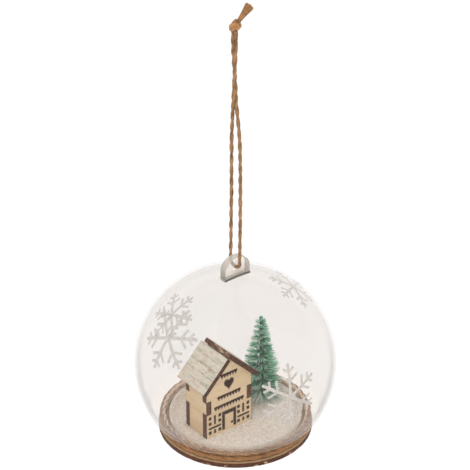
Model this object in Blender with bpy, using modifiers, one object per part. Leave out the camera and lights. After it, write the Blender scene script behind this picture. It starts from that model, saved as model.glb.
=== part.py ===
"""Hanging snow globe: a clear ball on a plywood base, with a laser-cut house and a bottle-brush tree.

Units are metres, +Z is up, and the house and the hanging tab face -Y.
The origin is the hanging point, where the two strands of the loop come together.
"""
import math
import random

import bmesh
import bpy
from mathutils import Matrix, Vector

MM = 0.001

# Fits
GAP = 0.3 * MM

# Hanging loop of jute twine
CORD_D = 1.5 * MM
CORD_SPACING = 4.2 * MM
LOOP_DROP = 69.0 * MM
STRAND_ROUTE = ((0.2, 1.0, 0.83), (0.4, 0.95, 0.64), (0.5, 0.82, 0.43), (0.4, 0.4, 0.2))
TWIST_HEIGHT = 27.0 * MM
TWIST_TURNS = 0.44
TWIST_START = math.radians(72.0)
TWIST_POINTS = 13
KNOT_WIDTH = 5.2 * MM
KNOT_HEIGHT = 4.9 * MM
KNOT_GROOVE = Vector((0.5, -0.35, 0.8)).normalized()
KNOT_GROOVE_DEPTH = 0.3 * MM
KNOT_GROOVE_WIDTH = 0.6 * MM
TAIL_LENGTHS = {"tail_long": 7.0 * MM, "tail_short": 6.2 * MM}
TAIL_DIRECTION = Vector((4.54, -3.61, 8.6)).normalized()
TAIL_SPREAD = math.radians(9.0)

# Clear globe with its shoulder, neck and moulded tab
GLOBE_RADIUS = 40.0 * MM
GLOBE_WALL = 1.0 * MM
SHOULDER_RADIUS = 3.0 * MM
SHELF_WIDTH = 3.8 * MM
SHELF_SLOPE = math.radians(5.0)
NECK_RADIUS = 28.0 * MM
NECK_FILLET = 0.8 * MM
TAB_WIDTH = 12.0 * MM
TAB_THICKNESS = 3.2 * MM
TAB_HOLE_RADIUS = 2.2 * MM
TAB_HOLE_RISE = 2.9 * MM
TAB_SINK = 0.25 * MM
BIGHT_RADIUS = 2.4 * MM
BIGHT_LEAD = 0.4 * MM
BIGHT_POINTS = 7
GLOBE_STEPS = 44
BALL_POINTS = 16
SHOULDER_POINTS = 6
FILLET_POINTS = 4
TAB_POINTS = 17
HOLE_POINTS = 24

# Twine wound round the neck
RIM_CORD_D = 2.0 * MM
RIM_CORD_SPACE = 0.45 * MM
RIM_CORD_START = math.radians(75.0)
RIM_CORD_CLIMB = math.radians(45.0)
RIM_CORD_POINTS = 24

# Plywood base and the snow on it
DISC_MARGIN = 0.7 * MM
DISC_THICKNESS = 2.0 * MM
DISC_SEGMENTS = 72
SNOW_DEPTH = 0.9 * MM
SNOW_DRIFT = 0.35 * MM
DRIFT_LENGTH_X = 30.0 * MM
DRIFT_LENGTH_Y = 24.0 * MM
SNOW_RINGS = 9
SNOW_STEPS = 48

# House, cut from one sheet of thin plywood
PLY = 2.0 * MM
HOUSE_X = -7.3 * MM
HOUSE_Y = 1.45 * MM
HOUSE_WIDTH = 22.5 * MM
HOUSE_DEPTH = 13.5 * MM
EAVE_HEIGHT = 22.1 * MM
JOINT_TAB_LOW = 11.6 * MM
JOINT_TAB_HIGH = 17.1 * MM
ROOF_PITCH = math.radians(45.0)
ROOF_EAVE = 1.2 * MM
ROOF_FRONT = 1.5 * MM
ROOF_BACK = {"roof_left": 2.3 * MM, "roof_right": 0.7 * MM}

# Cut-outs of the front wall
HEART_WIDTH = 4.7 * MM
HEART_TALL = 5.0 * MM
HEART_HEIGHT = 22.4 * MM
HEART_POINTS = 24
ICICLE_ROWS = ((27.2 * MM, 8.1 * MM), (17.5 * MM, 11.5 * MM), (13.2 * MM, 14.6 * MM))
ICICLE_BAR = 0.5 * MM
ICICLE_TOOTH = 1.0 * MM
ICICLE_PITCH = 1.45 * MM
DOOR_WIDTH = 6.25 * MM
DOOR_TOP = 9.5 * MM
DOOR_FOOT = 1.3 * MM
DOOR_SLOT = 0.9 * MM
DOOR_LINTEL = 1.3 * MM
KNOB_RADIUS = 0.5 * MM
KNOB_HEIGHT = 3.3 * MM
KNOB_OFFSET = 1.4 * MM
KNOB_POINTS = 10
WINDOW_OFFSET = 7.1 * MM
WINDOW_COLUMN = 2.4 * MM
WINDOW_BAR_WIDTH = 0.75 * MM
PANE_WIDTH = 1.15 * MM
PANE_HEIGHT = 1.35 * MM
PANE_ROWS = (9.2 * MM, 6.75 * MM, 2.35 * MM)
MULLION_SPANS = ((5.8 * MM, 9.9 * MM), (1.5 * MM, 3.2 * MM))
TRANSOM_HEIGHT = 4.4 * MM
TRANSOM_LENGTH = 5.8 * MM

# Bottle-brush tree
TREE_BEARING = math.radians(14.6)
TREE_RADIUS = 9.4 * MM
TREE_CLEARANCE = 0.6 * MM
TREE_FOOT = 2.0 * MM
TREE_HEIGHT = 37.8 * MM
WIRE_RADIUS = 0.45 * MM
WIRE_SOCKET = 1.4 * MM
WIRE_SEGMENTS = 12
SLEEVE_WALL = 0.3 * MM
BRISTLE_RINGS = 44
BRISTLES_PER_RING = 10
BRISTLE_LIFT = math.radians(14.0)
BRISTLE_TIP_SHARE = 0.14
BRISTLE_SHORTEST = 0.9
BRISTLE_SEED = 7

# Colours
JUTE = (0.55, 0.36, 0.20)
DARK_JUTE = (0.47, 0.31, 0.18)
PALE_PLY = (0.80, 0.66, 0.46)
BASE_PLY = (0.62, 0.45, 0.29)
WEATHERED_PLY = (0.62, 0.60, 0.52)
CLEAR = (0.93, 0.95, 0.95)
WHITE = (0.92, 0.92, 0.93)
WIRE_GREY = (0.13, 0.15, 0.13)
TREE_GREEN = (0.05, 0.27, 0.17)

# Places that follow from the sizes above
CORD_R = CORD_D / 2
PIVOT = Vector((0.0, 0.0, -LOOP_DROP))
BIGHT_SLOPE = math.asin((TAB_THICKNESS / 2 - BIGHT_LEAD) / BIGHT_RADIUS)
HOLE_TOP = BIGHT_RADIUS * (1.0 - math.cos(BIGHT_SLOPE)) + CORD_R / math.cos(BIGHT_SLOPE) + GAP
HOLE_Z = PIVOT.z + HOLE_TOP - TAB_HOLE_RADIUS
GLOBE_Z = HOLE_Z - TAB_HOLE_RISE - GLOBE_RADIUS
TAB_HALF = TAB_WIDTH / 2
TAB_CORNER = math.hypot(TAB_HALF, TAB_THICKNESS / 2)
TAB_FOOT = GLOBE_Z + math.sqrt(GLOBE_RADIUS ** 2 - TAB_CORNER ** 2) - TAB_SINK
RIM_CORD_PITCH = RIM_CORD_D + RIM_CORD_SPACE
RIM_STACK = RIM_CORD_D + RIM_CORD_PITCH
RIM_RADIUS = NECK_RADIUS + GAP + RIM_CORD_D / 2
DISC_RADIUS = RIM_RADIUS + RIM_CORD_D / 2 + DISC_MARGIN
SHOULDER_R = NECK_RADIUS + SHELF_WIDTH
SHOULDER_Z = GLOBE_Z - math.sqrt((GLOBE_RADIUS - SHOULDER_RADIUS) ** 2 - SHOULDER_R ** 2)
SHELF_Z = SHOULDER_Z - SHOULDER_RADIUS
DISC_TOP = SHELF_Z - SHELF_WIDTH * math.tan(SHELF_SLOPE) - RIM_STACK - 2 * GAP
NECK_INNER = NECK_RADIUS - GLOBE_WALL
HOUSE_FOOT = DISC_TOP + GAP
TREE_REACH = NECK_INNER - TREE_RADIUS - TREE_CLEARANCE
TREE_PLACE = Vector((TREE_REACH * math.cos(TREE_BEARING), TREE_REACH * math.sin(TREE_BEARING), 0.0))
BORE_RADIUS = WIRE_RADIUS + GAP


def clear_scene():
    for item in list(bpy.data.objects):
        bpy.data.objects.remove(item, do_unlink=True)


def new_collection(name):
    collection = bpy.data.collections.new(name)
    bpy.context.scene.collection.children.link(collection)
    return collection


def material(name, colour, roughness, metallic=0.0, transmission=0.0):
    mat = bpy.data.materials.new(name)
    mat.use_nodes = True
    shader = mat.node_tree.nodes["Principled BSDF"]
    shader.inputs["Base Color"].default_value = (*colour, 1.0)
    shader.inputs["Roughness"].default_value = roughness
    shader.inputs["Metallic"].default_value = metallic
    shader.inputs["Transmission Weight"].default_value = transmission
    mat.diffuse_color = (*colour, 1.0)
    return mat


def place(obj, collection, mat, parent):
    """Link an object, give it its material and hang it on an empty without moving it."""
    if obj.name not in collection.objects:
        collection.objects.link(obj)
    obj.data.materials.clear()
    obj.data.materials.append(mat)
    obj.parent = parent
    obj.matrix_parent_inverse = Matrix.Translation(-parent.location)
    return obj


def empty_at(name, location, collection):
    empty = bpy.data.objects.new(name, None)
    empty.location = location
    empty.empty_display_size = 5 * MM
    collection.objects.link(empty)
    return empty


def mesh_object(name, bm):
    """Turn a bmesh into an object with outward faces."""
    bmesh.ops.recalc_face_normals(bm, faces=bm.faces)
    mesh = bpy.data.meshes.new(name)
    bm.to_mesh(mesh)
    bm.free()
    return bpy.data.objects.new(name, mesh)


def smooth(obj, angle=35.0):
    obj.data.shade_smooth()
    obj.data.set_sharp_from_angle(angle=math.radians(angle))


def poly_curve(name, dimensions):
    curve = bpy.data.curves.new(name, "CURVE")
    curve.dimensions = dimensions
    curve.use_fill_caps = dimensions == "3D"
    return curve


def add_spline(curve, points, closed):
    spline = curve.splines.new("POLY")
    spline.points.add(len(points) - 1)
    for slot, point in zip(spline.points, points):
        slot.co = (point[0], point[1], point[2] if len(point) > 2 else 0.0, 1.0)
    spline.use_cyclic_u = closed


def tube(name, points, diameter, resolution):
    """A cord along its points, with filled ends."""
    curve = poly_curve(name, "3D")
    curve.bevel_depth = diameter / 2
    curve.bevel_resolution = resolution
    add_spline(curve, points, closed=False)
    return bpy.data.objects.new(name, curve)


def panel(name, outline, cutouts, thickness, matrix):
    """A laser-cut sheet: an outline with cut-outs, extruded to both sides of its own plane."""
    curve = poly_curve(name, "2D")
    curve.fill_mode = "BOTH"
    curve.extrude = thickness / 2
    for loop in [outline] + list(cutouts):
        add_spline(curve, loop, closed=True)
    obj = bpy.data.objects.new(name, curve)
    obj.matrix_world = matrix
    return obj


def as_mesh(obj, collection):
    """The evaluated mesh of a curve or a modified object, welded, in a new object of the same name."""
    collection.objects.link(obj)
    bpy.context.view_layer.update()
    graph = bpy.context.evaluated_depsgraph_get()
    mesh = bpy.data.meshes.new_from_object(obj.evaluated_get(graph))
    bm = bmesh.new()
    bm.from_mesh(mesh)
    bmesh.ops.remove_doubles(bm, verts=bm.verts, dist=0.001 * MM)
    bm.to_mesh(mesh)
    bm.free()
    name = obj.name
    matrix = obj.matrix_world.copy()
    bpy.data.objects.remove(obj, do_unlink=True)
    solid = bpy.data.objects.new(name, mesh)
    solid.matrix_world = matrix
    return solid


def turned(name, profile, steps):
    """A profile of (radius, height) points, spun about the Z axis."""
    mesh = bpy.data.meshes.new(name)
    points = [(radius, 0.0, height) for radius, height in profile]
    mesh.from_pydata(points, [(i, i + 1) for i in range(len(points) - 1)], [])
    obj = bpy.data.objects.new(name, mesh)
    screw = obj.modifiers.new("turn", "SCREW")
    screw.steps = steps
    screw.render_steps = steps
    screw.use_merge_vertices = True
    screw.merge_threshold = 0.002 * MM
    return obj


def cylinder(name, radius, low, high, centre, segments):
    bm = bmesh.new()
    bmesh.ops.create_cone(bm, cap_ends=True, segments=segments, radius1=radius, radius2=radius,
                          depth=high - low)
    bmesh.ops.translate(bm, verts=bm.verts, vec=(centre[0], centre[1], (low + high) / 2))
    return mesh_object(name, bm)


def box(name, low, high):
    bm = bmesh.new()
    bmesh.ops.create_cube(bm, size=1.0)
    size = [b - a for a, b in zip(low, high)]
    centre = [(a + b) / 2 for a, b in zip(low, high)]
    bmesh.ops.scale(bm, verts=bm.verts, vec=size)
    bmesh.ops.translate(bm, verts=bm.verts, vec=centre)
    return mesh_object(name, bm)


def boolean(obj, other, operation, cutters):
    cutters.objects.link(other)
    other.hide_render = True
    other.display_type = "WIRE"
    modifier = obj.modifiers.new(other.name, "BOOLEAN")
    modifier.operation = operation
    modifier.solver = "EXACT"
    modifier.object = other


def polar(centre, radius, angle):
    return (centre[0] + radius * math.cos(angle), centre[1] + radius * math.sin(angle))


def arc_angles(start, end, count):
    return [start + (end - start) * i / (count - 1) for i in range(count)]


def arc(centre, radius, start, end, count):
    """Points on an arc in a plane, with its first and last point."""
    return [polar(centre, radius, angle) for angle in arc_angles(start, end, count)]


def circle(centre, radius, count):
    return arc(centre, radius, 0.0, 2 * math.pi, count + 1)[:-1]


def rectangle(centre, width, height):
    x, y = centre
    w, h = width / 2, height / 2
    return [(x - w, y - h), (x + w, y - h), (x + w, y + h), (x - w, y + h)]


def smooth_route(route, spacing):
    """Points on a smooth curve through the route's own points, closer where the route's are closer."""
    knots = [2 * route[0] - route[1]] + list(route) + [2 * route[-1] - route[-2]]
    points = []
    for a, b, c, d in zip(knots, knots[1:], knots[2:], knots[3:]):
        steps = max(1, round((c - b).length / spacing))
        for step in range(steps):
            t = step / steps
            points.append(0.5 * (2 * b + (c - a) * t + (2 * a - 5 * b + 4 * c - d) * t * t
                                 + (3 * b - a - 3 * c + d) * t ** 3))
    points.append(route[-1])
    return points


# Globe

def globe_section():
    """The outer wall from the crown to the foot, as (point, outward normal) pairs."""
    meet = math.atan2(SHOULDER_Z - GLOBE_Z, SHOULDER_R)
    turn_end = -math.pi / 2 + SHELF_SLOPE
    section = []
    for angle in arc_angles(math.pi / 2, meet, BALL_POINTS):
        section.append((polar((0.0, GLOBE_Z), GLOBE_RADIUS, angle), direction(angle)))
    for angle in arc_angles(meet, turn_end, SHOULDER_POINTS)[1:]:
        section.append((polar((SHOULDER_R, SHOULDER_Z), SHOULDER_RADIUS, angle), direction(angle)))
    shelf_start = section[-1][0]
    fillet_r = NECK_RADIUS + NECK_FILLET
    shelf_end_r = fillet_r - NECK_FILLET * math.cos(turn_end)
    fall = (shelf_start[0] - shelf_end_r) * math.tan(SHELF_SLOPE)
    fillet_z = shelf_start[1] - fall + NECK_FILLET * math.sin(turn_end)
    for angle in arc_angles(turn_end, 0.0, FILLET_POINTS):
        section.append((polar((fillet_r, fillet_z), -NECK_FILLET, angle), direction(angle)))
    section.append(((NECK_RADIUS, DISC_TOP + GAP), direction(0.0)))
    return section


def direction(angle):
    return polar((0.0, 0.0), 1.0, angle)


def make_globe(parts, cutters, parent):
    section = globe_section()
    outer = [point for point, normal in section]
    inner = [(p[0] - GLOBE_WALL * n[0], p[1] - GLOBE_WALL * n[1]) for p, n in section]
    outer[0] = (0.0, outer[0][1])
    inner[0] = (0.0, inner[0][1])
    globe = turned("globe", outer + inner[::-1], GLOBE_STEPS)
    outline = arc((0.0, HOLE_Z), TAB_HALF, 0.0, math.pi, TAB_POINTS)
    outline += [(-TAB_HALF, TAB_FOOT), (TAB_HALF, TAB_FOOT)]
    hole = circle((0.0, HOLE_Z), TAB_HOLE_RADIUS, HOLE_POINTS)
    upright = Matrix.Rotation(math.pi / 2, 4, "X")
    tab = as_mesh(panel("globe_tab", outline, [hole], TAB_THICKNESS, upright), cutters)
    globe = as_mesh(globe, cutters)
    boolean(globe, tab, "UNION", cutters)
    smooth(globe)
    place(globe, parts, material("clear_shell", CLEAR, 0.03, transmission=1.0), parent)


# Base

def make_disc(parts, cutters, parent):
    disc = cylinder("base_disc", DISC_RADIUS, DISC_TOP - DISC_THICKNESS, DISC_TOP, (0.0, 0.0),
                    DISC_SEGMENTS)
    socket = cylinder("wire_socket", BORE_RADIUS, DISC_TOP - WIRE_SOCKET, DISC_TOP + GAP, TREE_PLACE,
                      WIRE_SEGMENTS)
    boolean(disc, socket, "DIFFERENCE", cutters)
    smooth(disc)
    place(disc, parts, material("base_plywood", BASE_PLY, 0.75), parent)


def make_snow(parts, cutters, parent):
    """A drifted layer on the disc, open where the house and the tree's wire stand."""
    radius = NECK_INNER - GAP
    bottom = DISC_TOP + GAP
    profile = [(radius * i / SNOW_RINGS, bottom + SNOW_DEPTH) for i in range(SNOW_RINGS + 1)]
    snow = as_mesh(turned("snow_bed", profile + [(radius, bottom), (0.0, bottom)], SNOW_STEPS), cutters)
    for vertex in snow.data.vertices:
        if vertex.co.z > bottom + SNOW_DEPTH / 2:
            swell_x = math.sin(2 * math.pi * vertex.co.x / DRIFT_LENGTH_X)
            swell_y = math.cos(2 * math.pi * vertex.co.y / DRIFT_LENGTH_Y)
            vertex.co.z += SNOW_DRIFT * (swell_x + swell_y) / 2
    west, east = HOUSE_X - HOUSE_WIDTH / 2 - GAP, HOUSE_X + HOUSE_WIDTH / 2 + GAP
    front, back = HOUSE_Y - HOUSE_DEPTH / 2 - GAP, HOUSE_Y + HOUSE_DEPTH / 2 + GAP
    above = bottom + 4 * SNOW_DEPTH
    pocket = box("house_pocket", (west, front, bottom - GAP), (east, back, above))
    boolean(snow, pocket, "DIFFERENCE", cutters)
    hole = cylinder("wire_hole", BORE_RADIUS, bottom - GAP, above, TREE_PLACE, WIRE_SEGMENTS)
    boolean(snow, hole, "DIFFERENCE", cutters)
    smooth(snow)
    place(snow, parts, material("snow", WHITE, 0.9), parent)


def rim_cord_points(per_turn):
    """The winding's centre line: a flat turn, a climb, and a second flat turn on top of it."""
    low = DISC_TOP + GAP + RIM_CORD_D / 2
    full = 2 * math.pi
    end = 2 * full - RIM_CORD_CLIMB - 2 * RIM_CORD_D / RIM_RADIUS
    count = round(end / full * per_turn)
    points = []
    for i in range(count + 1):
        turn = end * i / count
        share = (turn - (full - RIM_CORD_CLIMB)) / RIM_CORD_CLIMB
        share = min(1.0, max(0.0, share))
        height = low + RIM_CORD_PITCH * share * share * (3 - 2 * share)
        x, y = polar((0.0, 0.0), RIM_RADIUS, RIM_CORD_START + turn)
        points.append(Vector((x, y, height)))
    return points


def least_gap(points, diameter, neighbours):
    """The least clear distance of a tube from itself, away from its own neighbouring points."""
    gap = math.inf
    for i, a in enumerate(points):
        for b in points[i + neighbours:]:
            gap = min(gap, (a - b).length - diameter)
    return gap


def make_rim_cord(parts, parent):
    fine = 20 * RIM_CORD_POINTS
    gap = least_gap(rim_cord_points(fine), RIM_CORD_D, fine // 2)
    print("rim_cord least gap to itself: %.3f mm" % (gap / MM))
    cord = tube("rim_cord", rim_cord_points(RIM_CORD_POINTS), RIM_CORD_D, 1)
    place(cord, parts, material("rim_jute", DARK_JUTE, 0.9), parent)


# House

def upright_matrix(x, y, facing):
    """Stand a flat panel up: its own X runs along the wall and its own Y runs up."""
    return Matrix.Translation((x, y, HOUSE_FOOT)) @ Matrix.Rotation(facing, 4, "Z") @ Matrix.Rotation(
        math.pi / 2, 4, "X")


def gable_outline():
    """A gable wall with an open notch at each side for the side walls' joint tabs."""
    half = HOUSE_WIDTH / 2
    apex = EAVE_HEIGHT + half * math.tan(ROOF_PITCH)
    low, high = JOINT_TAB_LOW - GAP, JOINT_TAB_HIGH + GAP
    notch = half - PLY - GAP
    right = [(half, 0.0), (half, low), (notch, low), (notch, high), (half, high), (half, EAVE_HEIGHT)]
    left = [(-x, y) for x, y in reversed(right)]
    return right + [(0.0, apex)] + left


def heart_outline():
    """A heart of two round lobes over a point."""
    points = []
    for i in range(HEART_POINTS):
        t = 2 * math.pi * i / HEART_POINTS
        x = 16 * math.sin(t) ** 3
        y = 13 * math.cos(t) - 5 * math.cos(2 * t) - 2 * math.cos(3 * t) - math.cos(4 * t)
        points.append((x * HEART_WIDTH / 32, HEART_HEIGHT + y * HEART_TALL / 29))
    return points


def icicle_outline(height, length):
    """A narrow bar with a row of pointed teeth hanging from it."""
    teeth = round(length / ICICLE_PITCH)
    step = length / teeth
    top = height + ICICLE_BAR / 2
    low = height - ICICLE_BAR / 2
    points = [(length / 2, top), (-length / 2, top)]
    for i in range(teeth):
        start = -length / 2 + i * step
        points.append((start, low))
        points.append((start + step / 2, low - ICICLE_TOOTH))
    points.append((length / 2, low))
    return points


def door_outline():
    """The slot round a door that stays joined to the wall at its foot."""
    outer, inner = DOOR_WIDTH / 2, DOOR_WIDTH / 2 - DOOR_SLOT
    lintel = DOOR_TOP - DOOR_LINTEL
    right = [(inner, lintel), (inner, DOOR_FOOT), (outer, DOOR_FOOT), (outer, DOOR_TOP)]
    return right + [(-x, y) for x, y in reversed(right)]


def window_cutouts(centre):
    cutouts = [rectangle((centre, TRANSOM_HEIGHT), TRANSOM_LENGTH, WINDOW_BAR_WIDTH)]
    for side in (-1, 1):
        for height in PANE_ROWS:
            cutouts.append(rectangle((centre + side * WINDOW_COLUMN, height), PANE_WIDTH, PANE_HEIGHT))
    for low, high in MULLION_SPANS:
        cutouts.append(rectangle((centre, (low + high) / 2), WINDOW_BAR_WIDTH, high - low))
    return cutouts


def front_cutouts():
    knob = circle((KNOB_OFFSET, KNOB_HEIGHT), KNOB_RADIUS, KNOB_POINTS)
    cutouts = [heart_outline(), door_outline(), knob]
    cutouts += [icicle_outline(height, length) for height, length in ICICLE_ROWS]
    cutouts += window_cutouts(-WINDOW_OFFSET)
    cutouts += window_cutouts(WINDOW_OFFSET)
    return cutouts


def side_outline():
    """A side wall between the gables, with a joint tab at each end that passes through its gable."""
    body = HOUSE_DEPTH / 2 - PLY - GAP
    reach = HOUSE_DEPTH / 2
    top = EAVE_HEIGHT - GAP * math.sqrt(2)
    low, high = JOINT_TAB_LOW, JOINT_TAB_HIGH
    right = [(body, 0.0), (body, low), (reach, low), (reach, high), (body, high), (body, top)]
    return right + [(-x, y) for x, y in reversed(right)]


def make_walls(parts, parent):
    gable_y = HOUSE_DEPTH / 2 - PLY / 2
    side_x = HOUSE_WIDTH / 2 - PLY / 2
    front = upright_matrix(HOUSE_X, HOUSE_Y - gable_y, 0.0)
    back = upright_matrix(HOUSE_X, HOUSE_Y + gable_y, math.pi)
    left = upright_matrix(HOUSE_X - side_x, HOUSE_Y, -math.pi / 2)
    right = upright_matrix(HOUSE_X + side_x, HOUSE_Y, math.pi / 2)
    walls = (
        ("wall_front", gable_outline(), front_cutouts(), front),
        ("wall_back", gable_outline(), [], back),
        ("wall_left", side_outline(), [], left),
        ("wall_right", side_outline(), [], right),
    )
    for name, outline, cutouts, matrix in walls:
        wall = panel(name, outline, cutouts, PLY, matrix)
        place(wall, parts, material(name + "_ply", PALE_PLY, 0.7), parent)


def make_roof(parts, parent):
    """Two panels that meet square at the ridge: the right one laps over the left one's edge."""
    apex_z = HOUSE_FOOT + EAVE_HEIGHT + HOUSE_WIDTH / 2 * math.tan(ROOF_PITCH)
    length = HOUSE_WIDTH / 2 / math.cos(ROOF_PITCH) + ROOF_EAVE
    front = -HOUSE_DEPTH / 2 - ROOF_FRONT
    lean = math.pi / 2 - 2 * ROOF_PITCH
    lap = (GAP + PLY) / math.cos(lean)
    butt = GAP / math.cos(lean) + max(0.0, math.tan(lean)) * (GAP + PLY)
    for name, side, top in (("roof_left", -1, -butt), ("roof_right", 1, lap)):
        back = HOUSE_DEPTH / 2 + ROOF_BACK[name]
        low, high = (front, back) if side < 0 else (-back, -front)
        outline = [(-length, low), (top, low), (top, high), (-length, high)]
        tilt = Matrix.Rotation(-ROOF_PITCH, 4, "Y")
        lift = Matrix.Translation((0.0, 0.0, GAP + PLY / 2))
        turn = Matrix.Rotation(0.0 if side < 0 else math.pi, 4, "Z")
        matrix = Matrix.Translation((HOUSE_X, HOUSE_Y, apex_z)) @ turn @ tilt @ lift
        roof = panel(name, outline, [], PLY, matrix)
        place(roof, parts, material(name + "_ply", WEATHERED_PLY, 0.85), parent)


# Tree

def make_tree(parts, parent):
    wire_top = DISC_TOP + TREE_FOOT + TREE_HEIGHT
    wire = cylinder("tree_wire", WIRE_RADIUS, DISC_TOP - WIRE_SOCKET + GAP, wire_top, TREE_PLACE,
                    WIRE_SEGMENTS)
    smooth(wire)
    place(wire, parts, material("wire", WIRE_GREY, 0.4, metallic=0.9), parent)
    bristles = bristle_object()
    place(bristles, parts, material("bristle_green", TREE_GREEN, 0.7), parent)


def bristle_object():
    """A sleeve on the wire whose outer faces are each drawn out into one bristle."""
    rng = random.Random(BRISTLE_SEED)
    bm = bmesh.new()
    outer = BORE_RADIUS + SLEEVE_WALL
    rise = TREE_HEIGHT / BRISTLE_RINGS
    foot = DISC_TOP + TREE_FOOT
    bmesh.ops.create_circle(bm, cap_ends=False, segments=BRISTLES_PER_RING, radius=outer)
    bmesh.ops.translate(bm, verts=bm.verts, vec=(0.0, 0.0, foot))
    first = list(bm.edges)
    edges = first
    turn = Matrix.Rotation(math.pi / BRISTLES_PER_RING, 3, "Z")
    for ring in range(BRISTLE_RINGS):
        verts, edges = extrude_ring(bm, edges)
        bmesh.ops.translate(bm, verts=verts, vec=(0.0, 0.0, rise))
        bmesh.ops.rotate(bm, verts=verts, cent=(0.0, 0.0, 0.0), matrix=turn)
    skin = list(bm.faces)
    shrink = BORE_RADIUS / outer
    verts, edges = extrude_ring(bm, edges)
    bmesh.ops.scale(bm, verts=verts, vec=(shrink, shrink, 1.0))
    verts, edges = extrude_ring(bm, edges)
    bmesh.ops.translate(bm, verts=verts, vec=(0.0, 0.0, -TREE_HEIGHT))
    bmesh.ops.bridge_loops(bm, edges=first + edges)
    draw_out(bm, skin, foot, rng)
    bmesh.ops.translate(bm, verts=bm.verts, vec=TREE_PLACE)
    return mesh_object("tree_bristles", bm)


def extrude_ring(bm, edges):
    made = bmesh.ops.extrude_edge_only(bm, edges=edges)["geom"]
    verts = [item for item in made if isinstance(item, bmesh.types.BMVert)]
    ring = set(verts)
    loop = [item for item in made if isinstance(item, bmesh.types.BMEdge) and set(item.verts) <= ring]
    return verts, loop


def draw_out(bm, faces, foot, rng):
    """Raise the middle of each face into a bristle, shorter towards the tree's tip."""
    for tip in bmesh.ops.poke(bm, faces=faces)["verts"]:
        share = (tip.co.z - foot) / TREE_HEIGHT
        reach = TREE_RADIUS * (1.0 - (1.0 - BRISTLE_TIP_SHARE) * share) * rng.uniform(BRISTLE_SHORTEST, 1.0)
        out = Vector((tip.co.x, tip.co.y, 0.0))
        length = max(reach - out.length, 0.0)
        tip.co += out.normalized() * length
        tip.co.z += math.tan(BRISTLE_LIFT) * length


# Hanging loop

def strand_route(side):
    """One half of the loop, from the middle of the tab's hole up to the knot; side is -1 in front."""
    route = [PIVOT + Vector((0.0, side * GAP / 2, 0.0))]
    for angle in arc_angles(0.0, math.pi / 2, BIGHT_POINTS):
        across = BIGHT_LEAD + BIGHT_RADIUS * math.sin(angle)
        up = BIGHT_RADIUS * (1.0 - math.cos(angle))
        route.append(PIVOT + Vector((0.0, side * across, up)))
    close = (CORD_D + GAP) / 2
    wide = BIGHT_LEAD + BIGHT_RADIUS
    for lean, spread, drop in STRAND_ROUTE:
        route.append(Vector((lean * MM, side * (close + spread * (wide - close)), -drop * LOOP_DROP)))
    for i in range(TWIST_POINTS):
        share = i / (TWIST_POINTS - 1)
        angle = TWIST_START + 2 * math.pi * TWIST_TURNS * share
        x, y = -side * close * math.sin(angle), side * close * math.cos(angle)
        route.append(Vector((x, y, TWIST_HEIGHT * share)))
    return route


def make_loop(parts, parent):
    for name, side in (("cord_front", -1), ("cord_back", 1)):
        strand = tube(name, smooth_route(strand_route(side), CORD_SPACING), CORD_D, 2)
        place(strand, parts, material(name + "_jute", JUTE, 0.9), parent)
    knot_z = TWIST_HEIGHT + GAP + KNOT_HEIGHT / 2
    knot = make_knot(Vector((0.0, 0.0, knot_z)))
    place(knot, parts, material("knot_jute", JUTE, 0.9), parent)
    across = TAIL_DIRECTION.cross(Vector((0.0, 0.0, 1.0))).normalized()
    for (name, length), side in zip(TAIL_LENGTHS.items(), (-1, 1)):
        turn = Matrix.Rotation(side * TAIL_SPREAD, 3, TAIL_DIRECTION.cross(across))
        aim = turn @ TAIL_DIRECTION
        base = Vector((0.0, 0.0, knot_z)) + across * side * (CORD_R + GAP / 2)
        start = base + aim * (KNOT_WIDTH / 2 + GAP)
        tail = tube(name, [start, start + aim * length / 2, start + aim * length], CORD_D, 2)
        place(tail, parts, material(name + "_jute", JUTE, 0.9), parent)


def make_knot(centre):
    """A round knot drawn tight: a ball with a groove between its two wraps."""
    bm = bmesh.new()
    bmesh.ops.create_uvsphere(bm, u_segments=20, v_segments=12, radius=KNOT_WIDTH / 2)
    for vertex in bm.verts:
        along = vertex.co.dot(KNOT_GROOVE) / KNOT_GROOVE_WIDTH
        vertex.co -= vertex.co.normalized() * KNOT_GROOVE_DEPTH * math.exp(-along ** 2)
    bmesh.ops.scale(bm, verts=bm.verts, vec=(1.0, 1.0, KNOT_HEIGHT / KNOT_WIDTH))
    bmesh.ops.translate(bm, verts=bm.verts, vec=centre)
    knot = mesh_object("hang_knot", bm)
    smooth(knot)
    return knot


def main():
    clear_scene()
    parts = new_collection("snow_globe")
    cutters = new_collection("snow_globe_cutters")
    hanger = empty_at("hanger", (0.0, 0.0, 0.0), parts)
    swing = empty_at("globe_swing", PIVOT, parts)
    make_globe(parts, cutters, swing)
    make_disc(parts, cutters, swing)
    make_snow(parts, cutters, swing)
    make_rim_cord(parts, swing)
    make_walls(parts, swing)
    make_roof(parts, swing)
    make_tree(parts, swing)
    make_loop(parts, hanger)


main()
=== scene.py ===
"""Looks of a hanging snow globe: clear ball, jute, laser-cut plywood house, bottle-brush tree and snow.

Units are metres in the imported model's frame: +Z is up, and the house faces -Y.
"""
import math
import random

import bmesh
import bpy
from mathutils import Matrix, Vector, noise


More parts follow.
